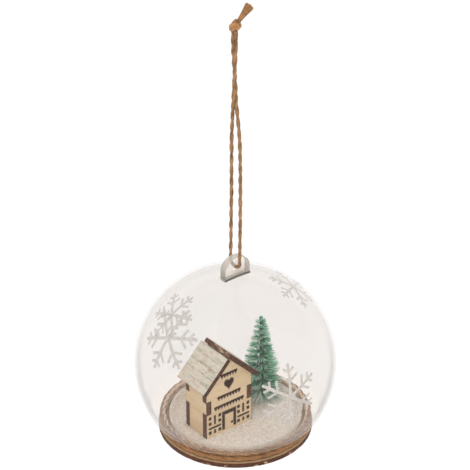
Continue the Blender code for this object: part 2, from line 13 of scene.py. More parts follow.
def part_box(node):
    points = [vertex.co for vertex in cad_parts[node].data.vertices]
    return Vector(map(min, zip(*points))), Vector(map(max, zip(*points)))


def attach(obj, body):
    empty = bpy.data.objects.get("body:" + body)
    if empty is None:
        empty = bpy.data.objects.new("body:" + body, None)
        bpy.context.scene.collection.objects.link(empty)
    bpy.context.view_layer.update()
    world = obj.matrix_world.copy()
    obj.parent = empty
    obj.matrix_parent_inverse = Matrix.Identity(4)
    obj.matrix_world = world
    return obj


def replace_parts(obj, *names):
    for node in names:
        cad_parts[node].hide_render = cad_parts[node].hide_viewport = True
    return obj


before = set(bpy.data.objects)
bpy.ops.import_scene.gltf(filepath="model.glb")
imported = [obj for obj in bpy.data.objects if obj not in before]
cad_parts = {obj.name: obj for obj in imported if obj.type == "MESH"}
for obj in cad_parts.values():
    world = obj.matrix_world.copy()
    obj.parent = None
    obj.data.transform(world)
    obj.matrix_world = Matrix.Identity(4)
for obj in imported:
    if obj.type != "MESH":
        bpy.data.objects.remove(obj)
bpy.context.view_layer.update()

MM = 0.001
UP = Vector((0.0, 0.0, 1.0))
WHITE = (1.0, 1.0, 1.0, 1.0)

# Camera, in the photograph's square frame
PHOTO_SIDE = 470
FOCAL_PIXELS = 1761.1
CAMERA_AZIMUTH = math.radians(37.85)
CAMERA_ELEVATION = math.radians(33.28)
CAMERA_DISTANCE = 700.0 * MM
CAMERA_ROLL = math.radians(-0.15)
AIM = Vector((0.0, 0.0, -55.4 * MM))
SENSOR = 36.0

# Light and floor
SKY = (1.0, 0.992, 0.985, 1.0)
WORLD_STRENGTH = 0.86
SUN_STRENGTH = 1.25
SUN_ANGLE = math.radians(50.0)
SUN_FROM = Vector((-0.3, -0.35, 1.0))
FLOOR_DROP = 300.0 * MM
FLOOR_SIZE = 12.0
CLEAR_LAYERS = 32

# Hanging loop, as in the part
CORD_D = 1.5 * MM
CORD_GAP = 0.3 * MM
LOOP_DROP = 69.0 * MM
STRAND_ROUTE = ((0.2, 1.0, 0.83), (0.4, 0.95, 0.64), (0.5, 0.82, 0.43), (0.4, 0.4, 0.2))
BIGHT_RADIUS = 2.4 * MM
BIGHT_LEAD = 0.4 * MM
BIGHT_POINTS = 7
TWIST_HEIGHT = 27.0 * MM
TWIST_TURNS = 0.44
TWIST_START = math.radians(72.0)
TWIST_POINTS = 13
KNOT_WIDTH = 5.2 * MM
KNOT_HEIGHT = 4.9 * MM
TAIL_LENGTHS = {"tail_long": 7.0 * MM, "tail_short": 6.2 * MM}
TAIL_DIRECTION = Vector((4.54, -3.61, 8.6)).normalized()
TAIL_ACROSS = TAIL_DIRECTION.cross(UP).normalized()
PIVOT = Vector((0.0, 0.0, -LOOP_DROP))

# Looks of the twine
TWINE_STEP = 0.5 * MM
TWINE_LAY = 6.2
TWINE_WANDER = 0.2
PLY_SHARES = {2: 0.34, 3: 0.27}
PLY_SIDES = 9
STRANDS_PRESSED = 0.58 * MM
STRANDS_BOW = 0.25
STRAND_HAIRS = 70
STRAND_HAIR = 1.8 * MM
STRAND_IN_KNOT = 1.4 * MM
HAIR_RADII = (0.04 * MM, 0.036 * MM, 0.03 * MM, 0.012 * MM)
KNOT_BEND_D = 3.2 * MM
KNOT_WRAP_D = 2.6 * MM
KNOT_WRAP_RADIUS = KNOT_WIDTH / 2 - 1.25 * MM
KNOT_WRAP_TURNS = 1.12
KNOT_WRAP_CLIMB = 0.9 * MM
KNOT_WRAP_TILT = 0.75
KNOT_COLLAR_D = 1.3 * MM
KNOT_COLLAR_RADIUS = 0.85 * MM
KNOT_HAIRS = 24
KNOT_HAIR = 1.2 * MM
KNOT_HAIR_FOOT = 1.2 * MM
TAIL_FIBRES = 130
TAIL_ASIDE = 0.45 * MM
TAIL_RAGGED = 0.16 * MM
TAIL_FIBRE_RADII = (0.15 * MM, 0.16 * MM, 0.17 * MM, 0.16 * MM)

# Clear globe, as in the part
GLOBE_RADIUS = 40.0 * MM
GLOBE_WALL = 1.0 * MM
SHOULDER_RADIUS = 3.0 * MM
SHELF_WIDTH = 3.8 * MM
SHELF_SLOPE = math.radians(5.0)
NECK_RADIUS = 28.0 * MM
NECK_FILLET = 0.8 * MM
TAB_WIDTH = 12.0 * MM
TAB_THICKNESS = 3.2 * MM
TAB_HOLE_RADIUS = 2.2 * MM
TAB_HOLE_RISE = 2.9 * MM
TAB_SINK = 0.25 * MM

# Looks of the clear globe
TAB_ROUNDING = 0.22 * MM
TAB_LOWERED = 0.8 * MM
TAB_FILLET = 0.42 * MM
BALL_STEPS = 144
RIM_SHADE = 16.0 * MM
CLEAR_HIGH = ((0.1, 0.958), (0.58, 0.958), (0.68, 0.945), (0.8, 0.96), (0.95, 0.92), (1.0, 0.75))
# Low on the ball the rim's tint has darker bands: painted shade for the base seen bent in the wall.
CLEAR_LOW_SHADED = ((0.1, 0.955), (0.67, 0.95), (0.77, 0.82), (0.84, 0.83), (0.9, 0.95), (1.0, 0.88))
WELD = 0.002 * MM

# Winding round the neck, as in the part
RIM_CORD_D = 2.0 * MM
RIM_CORD_PITCH = 2.45 * MM
RIM_CORD_START = math.radians(75.0)
RIM_CORD_CLIMB = math.radians(45.0)

# Looks of the winding
LOWER_TURN_D = 1.16 * RIM_CORD_D
UPPER_TURN_D = 1.2 * RIM_CORD_D
WINDING_STEP = 0.6 * MM
WINDING_HAIRS = 150
WINDING_HAIR = 2.0 * MM

# House and tree, as in the part
PLY = 2.0 * MM
ICICLE_ROWS = ((27.2 * MM, 8.1 * MM), (17.5 * MM, 11.5 * MM), (13.2 * MM, 14.6 * MM))
ICICLE_BAR = 0.5 * MM
ICICLE_TOOTH = 1.0 * MM
DOOR_WIDTH = 6.25 * MM
DOOR_TOP = 9.5 * MM
TREE_HEIGHT = 37.8 * MM

# Looks of the house
GLUE = 0.28 * MM
ROOF_LIFT = 0.4 * MM
CUT_WIDER = 0.3 * MM
NEAR = 0.05 * MM
ROOF_PLANKS = 5
PLANK_LINE = 0.35 * MM
SCORCH = 0.6 * MM
ARRIS = 0.8 * MM

# Looks of the snow
SNOW_DEPTH = 0.75 * MM
SNOW_LEAST = 0.12 * MM
SNOW_RINGS = 66
SNOW_STEPS = 200
SNOW_GRAINS = 2600
SNOW_GRAIN_SIZES = (0.13 * MM, 0.34 * MM)
SNOW_DRIFTS = ((0.28 * MM, 130, 0.3), (0.16 * MM, 620, 1.7), (0.09 * MM, 1700, 4.1))
TREE_BANK = (0.9 * MM, 2.6 * MM)
NECK_BANK = (2.6 * MM, 1.9 * MM)
HOUSE_HOLLOW = (-0.55 * MM, 1.8 * MM)

# Looks of the tree
TREE_REACH = 10.9 * MM
TREE_TIP_SHARE = 0.165
TREE_BRISTLES = 2000
TREE_TUFT = 70
TREE_TUFT_DEPTH = 0.24
TREE_SHORTER = 0.3
TREE_SCATTER = 0.26
TREE_FROST_AND_GLINT = 0.17
TREE_BRISTLE_RADIUS = 0.15 * MM
TREE_PITCH_LOW = 9.0 * MM
TREE_PITCH_HIGH = 4.6 * MM
BRISTLE_FLOOR = 0.25 * MM
STEM_TURNS = 11.0
STEM_STEPS = 220
STEM_ORBIT = 0.26 * MM
STEM_WIRE_RADIUS = 0.27 * MM
STEM_SHORT = 1.2 * MM

# Printed flakes: bearing, height, turn, radius, stroke's share of it, ink's cover and grey; the grey
# differs from flake to flake, lit and shaded copies of one ink, painted light and shade
FLAKES = {
    "flake_front": (-6.2, 8.4, -4.9, 13.2 * MM, 0.044, 0.95, 221),
    "flake_left": (-89.9, 36.1, -5.6, 13.4 * MM, 0.05, 0.52, 208),
    "flake_back": (-177.0, 4.1, 1.0, 11.6 * MM, 0.054, 0.3, 212),
    "flake_right": (100.9, 27.0, 39.7, 11.4 * MM, 0.05, 0.3, 212),
}
FLAKE_BARBS = ((0.47, 0.34), (0.74, 0.22))
FLAKE_BARB_LEAN = math.radians(55.0)
FLAKE_BARB_STROKE = 0.86
FLAKE_LIFT = 0.01 * MM
FLAKE_THICKNESS = 0.06 * MM
FLAKE_CELL = 1.5 * MM

# Places read from the frame
globe_low, globe_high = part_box("globe")
disc_low, disc_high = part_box("base_disc")
snow_low, snow_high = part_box("snow_bed")
wire_low, wire_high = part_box("tree_wire")
house_low, house_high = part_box("wall_front")
house_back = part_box("wall_back")[1]
GLOBE_Z = globe_high.z - TAB_WIDTH / 2 - TAB_HOLE_RISE - GLOBE_RADIUS
DISC_TOP = disc_high.z
GLOBE_FOOT = globe_low.z
SHOULDER_R = NECK_RADIUS + SHELF_WIDTH
SHOULDER_Z = GLOBE_Z - math.sqrt((GLOBE_RADIUS - SHOULDER_RADIUS) ** 2 - SHOULDER_R ** 2)
HOLE_Z = GLOBE_Z + GLOBE_RADIUS + TAB_HOLE_RISE
TREE_PLACE = Vector(((wire_low.x + wire_high.x) / 2, (wire_low.y + wire_high.y) / 2, 0.0))
TREE_FOOT = wire_high.z - TREE_HEIGHT
SNOW_RADIUS = (snow_high.x - snow_low.x) / 2


# Material helpers

def srgb(red, green, blue):
    """A linear colour from the three numbers that a picture editor shows."""
    def linear(value):
        share = value / 255
        return share / 12.92 if share <= 0.04045 else ((share + 0.055) / 1.055) ** 2.4
    return (linear(red), linear(green), linear(blue), 1.0)


def new_material(name):
    mat = bpy.data.materials.new(name)
    mat.use_nodes = True
    return mat, mat.node_tree, mat.node_tree.nodes["Principled BSDF"]


def plug(tree, target, inputs):
    """Put values, or other nodes' outputs, on a node's inputs."""
    for key, value in inputs.items():
        if isinstance(value, bpy.types.NodeSocket):
            tree.links.new(value, target.inputs[key])
        else:
            target.inputs[key].default_value = value


def node(tree, kind, inputs, **settings):
    """Add a shader node, with its inputs and its own settings."""
    made = tree.nodes.new("ShaderNode" + kind)
    for key, value in settings.items():
        setattr(made, key, value)
    plug(tree, made, inputs)
    return made


def coordinates(tree, output="Object"):
    return node(tree, "TexCoord", {}).outputs[output]


def object_height(tree):
    return node(tree, "SeparateXYZ", {0: coordinates(tree)}).outputs["Z"]


def rim_share(tree):
    """Nought where a surface is seen straight on, and one along its rim."""
    return node(tree, "LayerWeight", {"Blend": 0.5}).outputs["Facing"]


def calc(tree, operation, first, second=0.0):
    return node(tree, "Math", {0: first, 1: second}, operation=operation).outputs[0]


def dot(tree, first, second):
    return node(tree, "VectorMath", {0: first, 1: second}, operation="DOT_PRODUCT").outputs["Value"]


def mapped(tree, value, low, high, first=0.0, last=1.0):
    return node(tree, "MapRange", {0: value, 1: low, 2: high, 3: first, 4: last}).outputs[0]


def mix(tree, factor, first, second):
    return node(tree, "Mix", {0: factor, 6: first, 7: second}, data_type="RGBA").outputs[2]


def ramp(tree, factor, *stops):
    """A colour or grey value that changes along the given (place, colour) stops."""
    made = node(tree, "ValToRGB", {"Fac": factor})
    elements = made.color_ramp.elements
    while len(elements) < len(stops):
        elements.new(0.5)
    for element, (place, colour) in zip(elements, stops):
        element.position = place
        element.color = colour if isinstance(colour, tuple) else (colour, colour, colour, 1.0)
    return made.outputs["Color"]


def grain(tree, vector, scale, detail=3.0):
    return node(tree, "TexNoise", {"Vector": vector, "Scale": scale, "Detail": detail}).outputs[0]


def stretched(tree, vector, scale, detail=3.0):
    """Noise that runs finer or coarser along each axis."""
    way = node(tree, "Mapping", {"Vector": vector, "Scale": scale}).outputs[0]
    return grain(tree, way, 1.0, detail)


def bump(tree, rise, distance, strength=1.0):
    return node(tree, "Bump", {"Height": rise, "Distance": distance, "Strength": strength}).outputs[0]


def attribute(tree, name, output):
    return node(tree, "Attribute", {}, attribute_name=name).outputs[output]


def blend(tree, share, first, second):
    """Mix two shaders; share is the second one's part."""
    return node(tree, "MixShader", {0: share, 1: first.outputs[0], 2: second.outputs[0]})


def to_surface(tree, shader):
    tree.links.new(shader.outputs[0], tree.nodes["Material Output"].inputs["Surface"])


# Materials

def jute(name, dark, light, painted_veil=0.0):
    """Twisted bast fibre: streaks that run along each ply, pale hairs and darker hollows.

    Given a share, the side towards the axis is whitened by it: a painted reflection veil, standing in for
    the glass's pale sheen over the far side of the winding.
    """
    mat, tree, shader = new_material(name)
    along = attribute(tree, "grain", "Vector")
    shade = attribute(tree, "shade", "Fac")
    fibres = stretched(tree, along, (3.2, 3.2, 0.5), 4.0)
    blotch = stretched(tree, along, (0.4, 0.4, 0.35), 2.0)
    tone = calc(tree, "ADD", calc(tree, "MULTIPLY", fibres, 0.75), calc(tree, "MULTIPLY", blotch, 0.35))
    tone = calc(tree, "ADD", tone, calc(tree, "MULTIPLY", calc(tree, "SUBTRACT", shade, 0.5), 0.3))
    colour = ramp(tree, tone, (0.36, dark), (0.7, light))
    # Painted reflection: the side facing the axis is whitened, a veil of the glass's sheen.
    if painted_veil:
        level = {0: coordinates(tree), 1: (1.0, 1.0, 0.0)}
        flat = node(tree, "VectorMath", level, operation="MULTIPLY").outputs["Vector"]
        radial = node(tree, "VectorMath", {0: flat}, operation="NORMALIZE").outputs["Vector"]
        inward = calc(tree, "MULTIPLY", dot(tree, coordinates(tree, "Normal"), radial), -1.0)
        veil_mask = ramp(tree, inward, (0.0, 0.0), (0.45, painted_veil))
        colour = mix(tree, veil_mask, colour, srgb(246, 229, 215))
    plug(tree, shader, {"Base Color": colour, "Roughness": 0.85, "Specular IOR Level": 0.25,
                        "Sheen Weight": 0.1, "Sheen Roughness": 0.5,
                        "Normal": bump(tree, fibres, 0.12 * MM)})
    return mat


def burnt_edge(tree, axis):
    """One on a laser-cut edge and nought on the sheet's two faces, from the side that a face looks to."""
    size = calc(tree, "ABSOLUTE", dot(tree, coordinates(tree, "Normal"), axis))
    return ramp(tree, size, (0.75, 1.0), (0.92, 0.0))


def soot(tree, radius):
    """Grows towards a nearby corner, where the laser's heat has browned the face."""
    rounded = node(tree, "Bevel", {"Radius": radius}, samples=6).outputs["Normal"]
    turned = dot(tree, rounded, node(tree, "NewGeometry", {}).outputs["Normal"])
    return ramp(tree, calc(tree, "SUBTRACT", 1.0, turned), (0.01, 0.0), (0.13, 1.0))


def plywood(name, axis, run, pale, warm, line):
    """Thin plywood: fine grain along one way on its faces, and charred edges with their layers."""
    mat, tree, shader = new_material(name)
    place = coordinates(tree)
    across = [1.0 if step else 0.12 for step in run]
    fine = stretched(tree, place, [value * 2600 for value in across], 4.0)
    broad = stretched(tree, place, [value * 260 for value in across])
    face = mix(tree, ramp(tree, broad, (0.35, 0.0), (0.7, 1.0)), pale, warm)
    face = mix(tree, ramp(tree, fine, (0.52, 0.0), (0.78, 0.55)), face, line)
    speck = grain(tree, place, 1900.0, 1.0)
    face = mix(tree, ramp(tree, speck, (0.7, 0.0), (0.78, 0.5)), face, line)
    char = stretched(tree, place, (1500, 1500, 1500))
    edge = ramp(tree, char, (0.3, srgb(58, 29, 12)), (0.62, srgb(108, 64, 36)), (0.8, srgb(150, 104, 70)))
    colour = mix(tree, calc(tree, "MULTIPLY", soot(tree, SCORCH), 0.9), face, srgb(86, 54, 30))
    colour = mix(tree, burnt_edge(tree, axis), colour, edge)
    plug(tree, shader, {"Base Color": colour, "Roughness": 0.72, "Specular IOR Level": 0.3,
                        "Normal": bump(tree, fine, 0.05 * MM, 0.6)})
    return mat


def washed_roof(name, side):
    """Grey-washed plywood: plank lines across the slope, grain along them, specks and faint stains."""
    mat, tree, shader = new_material("wash_" + name)
    place = coordinates(tree)
    half = math.sqrt(0.5)
    axis, down = (side * half, 0.0, half), (side * half, 0.0, -half)
    fine = stretched(tree, place, (2400, 260, 2400), 4.0)
    broad = stretched(tree, place, (480, 130, 480))
    face = ramp(tree, broad, (0.32, srgb(194, 192, 174)), (0.5, srgb(222, 215, 200)),
                (0.68, srgb(210, 196, 180)))
    face = mix(tree, ramp(tree, fine, (0.5, 0.0), (0.74, 0.28)), face, srgb(160, 144, 126))
    levels = [vert.co.dot(Vector(down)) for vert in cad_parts["roof_" + name].data.vertices]
    span = (max(levels) - min(levels)) / ROOF_PLANKS
    travel = calc(tree, "SUBTRACT", dot(tree, place, down), min(levels))
    wave = calc(tree, "PINGPONG", travel, span / 2)
    groove = ramp(tree, calc(tree, "DIVIDE", wave, PLANK_LINE), (0.4, 1.0), (1.0, 0.0))
    broken = ramp(tree, stretched(tree, place, (300, 500, 300)), (0.4, 0.08), (0.62, 0.5))
    face = mix(tree, calc(tree, "MULTIPLY", groove, broken), face, srgb(132, 110, 92))
    stain = stretched(tree, place, (330, 170, 330), 2.0)
    face = mix(tree, ramp(tree, stain, (0.6, 0.0), (0.74, 0.5)), face, srgb(176, 142, 116))
    speck = grain(tree, place, 1300.0, 1.0)
    face = mix(tree, ramp(tree, speck, (0.68, 0.0), (0.75, 0.85)), face, srgb(96, 78, 60))
    char = stretched(tree, place, (700, 420, 700), 4.0)
    edge = ramp(tree, char, (0.36, srgb(62, 35, 18)), (0.54, srgb(114, 78, 54)), (0.7, srgb(196, 178, 162)))
    ends = calc(tree, "ABSOLUTE", dot(tree, coordinates(tree, "Normal"), (0.0, 1.0, 0.0)))
    dark = ramp(tree, char, (0.36, srgb(50, 25, 10)), (0.64, srgb(102, 60, 34)))
    edge = mix(tree, ramp(tree, ends, (0.5, 0.0), (0.8, 1.0)), edge, dark)
    plug(tree, shader, {"Base Color": mix(tree, burnt_edge(tree, axis), face, edge), "Roughness": 0.75,
                        "Specular IOR Level": 0.25, "Normal": bump(tree, fine, 0.05 * MM, 0.6)})
    return mat


def base_wood():
    """The base: pale plywood on top and below, and an edge charred dark, with a few paler chips."""
    mat, tree, shader = new_material("base_wood")
    place = coordinates(tree)
    fine = stretched(tree, place, (300, 2600, 2600), 4.0)
    face = ramp(tree, fine, (0.3, srgb(206, 178, 140)), (0.75, srgb(164, 128, 92)))
    rough = stretched(tree, place, (500, 500, 1600))
    char = ramp(tree, rough, (0.3, srgb(48, 23, 10)), (0.7, srgb(102, 56, 29)))
    chips = stretched(tree, place, (330, 330, 500), 1.0)
    arris = mapped(tree, object_height(tree), disc_low.z, disc_low.z + ARRIS, 0.13, 0.0)
    bare = ramp(tree, calc(tree, "ADD", chips, arris), (0.66, 0.0), (0.74, 0.85))
    edge = mix(tree, bare, char, srgb(196, 164, 132))
    colour = mix(tree, burnt_edge(tree, (0.0, 0.0, 1.0)), face, edge)
    plug(tree, shader, {"Base Color": colour, "Roughness": 0.75, "Normal": bump(tree, rough, 0.08 * MM)})
    return mat


def snow_material(name):
    mat, tree, shader = new_material(name)
    place = coordinates(tree)
    lumps = grain(tree, place, 900.0, 4.0)
    colour = ramp(tree, lumps, (0.3, srgb(213, 201, 188)), (0.7, srgb(246, 240, 233)))
    plug(tree, shader, {"Base Color": colour, "Roughness": 0.7, "Sheen Weight": 0.15,
                        "Normal": bump(tree, grain(tree, place, 3200.0, 2.0), 0.25 * MM)})
    return mat


def bristle_material():
    """Dyed green fibre, with painted shade that makes it deep green at the wire and painted light that
    makes it paler towards the tips; a few white hairs are frost at the foot and painted glints elsewhere.
    """
    mat, tree, shader = new_material("bristle_fibre_lit_and_shaded")
    shade = attribute(tree, "shade", "Fac")
    reach = node(tree, "SeparateXYZ", {0: attribute(tree, "grain", "Vector")}).outputs["Z"]
    deep = ramp(tree, shade, (0.0, srgb(26, 88, 62)), (0.8, srgb(92, 184, 140)), (1.0, srgb(190, 230, 208)))
    pale = ramp(tree, shade, (0.0, srgb(68, 162, 118)), (0.75, srgb(178, 238, 206)),
                (1.0, srgb(250, 254, 252)))
    # Painted shade at the wire, painted light towards the tips.
    colour = mix(tree, ramp(tree, reach, (0.2, 0.0), (0.95, 1.0)), deep, pale)
    plug(tree, shader, {"Base Color": colour, "Roughness": 0.45, "Sheen Weight": 0.2})
    return mat


def wire_material():
    mat, tree, shader = new_material("dark_wire")
    wear = grain(tree, coordinates(tree), 2500.0)
    colour = ramp(tree, wear, (0.4, srgb(38, 46, 42)), (0.75, srgb(112, 116, 110)))
    plug(tree, shader, {"Base Color": colour, "Metallic": 0.8, "Roughness": 0.42})
    return mat


def print_material(name, cover, grey):
    """Pale ink that lets light through from behind; cover is how much of it hides what lies behind."""
    mat, tree, shader = new_material(name)
    tree.nodes.remove(shader)
    spread = grain(tree, coordinates(tree), 700.0)
    colour = ramp(tree, spread, (0.3, srgb(grey - 8, grey - 13, grey - 18)),
                  (0.7, srgb(grey + 14, grey + 10, grey + 5)))
    front = node(tree, "BsdfDiffuse", {"Color": colour})
    through = node(tree, "BsdfTranslucent", {"Color": colour})
    bare = node(tree, "BsdfTransparent", {"Color": WHITE})
    to_surface(tree, blend(tree, cover, bare, blend(tree, 0.4, front, through)))
    return mat


def sheen(tree, least, most, power):
    """A mirror share that grows towards a surface's rim, the same from both of its sides."""
    grown = calc(tree, "MULTIPLY", calc(tree, "POWER", rim_share(tree), power), most - least)
    return calc(tree, "ADD", grown, least)


def clearness(tree, stops):
    """A warm white that lets through the given levels from the middle to the rim."""
    whites = [(place, (level, 0.99 * level, 0.982 * level, 1.0)) for place, level in stops]
    return ramp(tree, rim_share(tree), *whites)


def clear_wall():
    """The thin wall: straight through, with a mirror that grows towards the rim.

    Low on the ball the rim's tint turns darker: painted shade that stands in for the dark base seen bent in
    the wall there.
    """
    mat, tree, shader = new_material("clear_wall")
    tree.nodes.remove(shader)
    rise = mapped(tree, object_height(tree), GLOBE_Z - RIM_SHADE, GLOBE_Z + RIM_SHADE)
    tint = mix(tree, rise, clearness(tree, CLEAR_LOW_SHADED), clearness(tree, CLEAR_HIGH))
    through = node(tree, "BsdfTransparent", {"Color": tint})
    shine = node(tree, "BsdfGlossy", {"Roughness": 0.03, "Color": WHITE})
    to_surface(tree, blend(tree, sheen(tree, 0.025, 0.4, 5.0), through, shine))
    return mat


def clear_block(name, tint, haze, foot, top, least, most):
    """Thick clear plastic: part of the light goes straight through, part is scattered or mirrored.

    The scattered part is coloured from foot to top over the tab's height; where the foot colour is darker,
    that is painted shade where the tab meets the ball.
    """
    mat, tree, shader = new_material(name)
    tree.nodes.remove(shader)
    rise = mapped(tree, object_height(tree), HOLE_Z - TAB_HOLE_RISE, globe_high.z)
    through = node(tree, "BsdfTransparent", {"Color": tint})
    scatter = node(tree, "BsdfDiffuse", {"Color": mix(tree, rise, foot, top)})
    shine = node(tree, "BsdfGlossy", {"Roughness": 0.06, "Color": WHITE})
    milky = blend(tree, haze, through, scatter)
    to_surface(tree, blend(tree, sheen(tree, least, most, 4.0), milky, shine))
    return mat


# Mesh helpers

def carried(path):
    """A tangent, a normal and a side at each point of a path, carried along it without twist."""
    last = len(path) - 1
    tangents = [(path[min(i + 1, last)] - path[max(i - 1, 0)]).normalized() for i in range(last + 1)]
    normal = tangents[0].orthogonal().normalized()
    made = []
    for tangent in tangents:
        normal = (normal - tangent * normal.dot(tangent)).normalized()
        made.append((tangent, normal, tangent.cross(normal)))
    return made


class Weaver:
    """Collects tubes into one mesh, with a grain direction and a shade on each vertex."""

    def __init__(self):
        self.verts = []
        self.faces = []
        self.grain = []
        self.shade = []

    def tube(self, path, radii, sides, shade, unit=MM):
        """Add a closed tube; its grain runs along it, counted in the given unit."""
        start = len(self.verts)
        travelled = 0.0
        for i, (_, normal, side) in enumerate(carried(path)):
            travelled += (path[i] - path[i - 1]).length if i else 0.0
            for k in range(sides):
                angle = math.tau * k / sides
                out = normal * math.cos(angle) + side * math.sin(angle)
                self.verts.append(path[i] + out * radii[i])
                self.grain.append((math.cos(angle), math.sin(angle), travelled / unit))
                self.shade.append(shade)
        for i in range(len(path) - 1):
            low = start + i * sides
            for k in range(sides):
                after = (k + 1) % sides
                self.faces.append((low + k, low + after, low + sides + after, low + sides + k))
        end = start + (len(path) - 1) * sides
        self.faces.append(tuple(start + k for k in reversed(range(sides))))
        self.faces.append(tuple(end + k for k in range(sides)))

    def piece(self, name, mat, body):
        mesh = bpy.data.meshes.new(name)
        mesh.from_pydata(self.verts, [], self.faces)
        way = mesh.attributes.new("grain", "FLOAT_VECTOR", "POINT")
        way.data.foreach_set("vector", [number for row in self.grain for number in row])
        tone = mesh.attributes.new("shade", "FLOAT", "POINT")
        tone.data.foreach_set("value", self.shade)
        mesh.shade_smooth()
        return add_piece(name, mesh, [mat], body)


def new_object(name, data):
    obj = bpy.data.objects.new(name, data)
    bpy.context.scene.collection.objects.link(obj)
    return obj


def mesh_from(bm, name):
    mesh = bpy.data.meshes.new(name)
    bm.to_mesh(mesh)
    bm.free()
    return mesh


def add_piece(name, mesh, mats, body):
    obj = new_object(name, mesh)
    for mat in mats:
        mesh.materials.append(mat)
    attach(obj, body)
    return obj


def baked_mesh(obj):
    """The mesh of a curve or of an object with modifiers; the object itself goes."""
    bpy.context.view_layer.update()
    graph = bpy.context.evaluated_depsgraph_get()
    mesh = bpy.data.meshes.new_from_object(obj.evaluated_get(graph))
    bpy.data.objects.remove(obj, do_unlink=True)
    return mesh


def smooth_route(route, spacing):
    """Points on a smooth curve through the route's own points."""
    knots = [2 * route[0] - route[1]] + list(route) + [2 * route[-1] - route[-2]]
    points = []
    for a, b, c, d in zip(knots, knots[1:], knots[2:], knots[3:]):
        steps = max(1, round((c - b).length / spacing))
        for step in range(steps):
            t = step / steps
            points.append(0.5 * (2 * b + (c - a) * t + (2 * a - 5 * b + 4 * c - d) * t * t
                                 + (3 * b - a - 3 * c + d) * t ** 3))
    points.append(route[-1])
    return points


def arc_angles(start, end, count):
    return [start + (end - start) * i / (count - 1) for i in range(count)]


def outward(bearing, elevation):
    level = math.cos(elevation)
    return Vector((math.sin(bearing) * level, -math.cos(bearing) * level, math.sin(elevation)))


def path_length(path):
    return sum((b - a).length for a, b in zip(path, path[1:]))


def coil(centre, one, two, radius, turns, steps, climb=Vector()):
    """Points that go round a centre, from the direction one towards two, and climb as they go."""
    points = []
    for i in range(steps + 1):
        angle = math.tau * turns * i / steps
        out = one * math.cos(angle) + two * math.sin(angle)
        points.append(centre + out * radius + climb * (i / steps - 0.5))
    return points


# Twine

def twine(weaver, path, diameter, rng, plies=2, lay=TWINE_LAY, shades=(0.25, 0.75)):
    """Lay plies round a path; the lay is one turn's length in diameters."""
    ply_radius = diameter * PLY_SHARES[plies]
    orbit = diameter / 2 - ply_radius
    whole = path_length(path)
    ways = carried(path)
    for ply in range(plies):
        line = []
        radii = []
        travelled = 0.0
        for i, (_, normal, side) in enumerate(ways):
            travelled += (path[i] - path[i - 1]).length if i else 0.0
            turn = math.tau * (ply / plies + travelled / (lay * diameter))
            wander = noise.noise(Vector((travelled / diameter * 0.6, 3.7 * ply, whole / MM)))
            out = normal * math.cos(turn) + side * math.sin(turn)
            line.append(path[i] + out * orbit * (1.0 + TWINE_WANDER * wander))
            radii.append(ply_radius * (1.0 + TWINE_WANDER * wander))
        weaver.tube(line, radii, PLY_SIDES, rng.uniform(*shades))


def fuzz(weaver, path, radius, count, length, rng):
    """Loose hairs that stand off a twine and lie along it."""
    ways = carried(path)
    for _ in range(count):
        i = rng.randrange(1, len(path) - 1)
        tangent, normal, side = ways[i]
        angle = rng.uniform(0.0, math.tau)
        out = normal * math.cos(angle) + side * math.sin(angle)
        along = tangent * rng.choice((-1.0, 1.0))
        reach = length * rng.uniform(0.4, 1.0)
        lean = rng.uniform(0.2, 0.7)
        hair = [path[i] + out * radius * 0.85 + (along * s + out * lean * s * (1.3 - s)) * reach
                for s in (0.0, 0.33, 0.66, 1.0)]
        weaver.tube(hair, HAIR_RADII, 3, rng.uniform(0.5, 1.0))


def strand_route(side, close, bow):
    """One half of the loop, from the middle of the tab's hole up to the knot; side is -1 in front.

    In the twist each strand keeps the distance close from the middle. A bow below one makes the
    strands part sooner below it.
    """
    route = [PIVOT.copy()]
    for angle in arc_angles(0.0, math.pi / 2, BIGHT_POINTS):
        across = BIGHT_LEAD + BIGHT_RADIUS * math.sin(angle)
        up = BIGHT_RADIUS * (1.0 - math.cos(angle))
        route.append(PIVOT + Vector((0.0, side * across, up)))
    wide = BIGHT_LEAD + BIGHT_RADIUS
    for lean, spread, drop in STRAND_ROUTE:
        apart = close + spread ** bow * (wide - close)
        route.append(Vector((lean * MM, side * apart, -drop * LOOP_DROP)))
    for i in range(TWIST_POINTS):
        share = i / (TWIST_POINTS - 1)
        angle = TWIST_START + math.tau * TWIST_TURNS * share
        x, y = -side * close * math.sin(angle), side * close * math.cos(angle)
        route.append(Vector((x, y, TWIST_HEIGHT * share)))
    return route


def make_loop(mat, end_mat):
    rng = random.Random(11)
    hairs = Weaver()
    pieces = {}
    for name, side in (("cord_front", -1), ("cord_back", 1)):
        smooth_route(strand_route(side, (CORD_D + CORD_GAP) / 2, 1.0), TWINE_STEP)
        pressed = strand_route(side, STRANDS_PRESSED, STRANDS_BOW)
        pressed.append(pressed[-1] + UP * STRAND_IN_KNOT)
        laid = smooth_route(pressed, TWINE_STEP)
        weaver = Weaver()
        twine(weaver, laid, CORD_D, rng)
        pieces[name] = weaver.piece("jute_" + name, mat, "hanger")
        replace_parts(pieces[name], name)
        fuzz(hairs, laid, CORD_D / 2, STRAND_HAIRS, STRAND_HAIR, rng)
    centre = UP * (TWIST_HEIGHT + CORD_GAP + KNOT_HEIGHT / 2)
    knot = make_knot(centre, end_mat, rng, hairs)
    tails = make_tails(centre, end_mat, rng)
    loose = hairs.piece("jute_hairs", mat, "hanger")


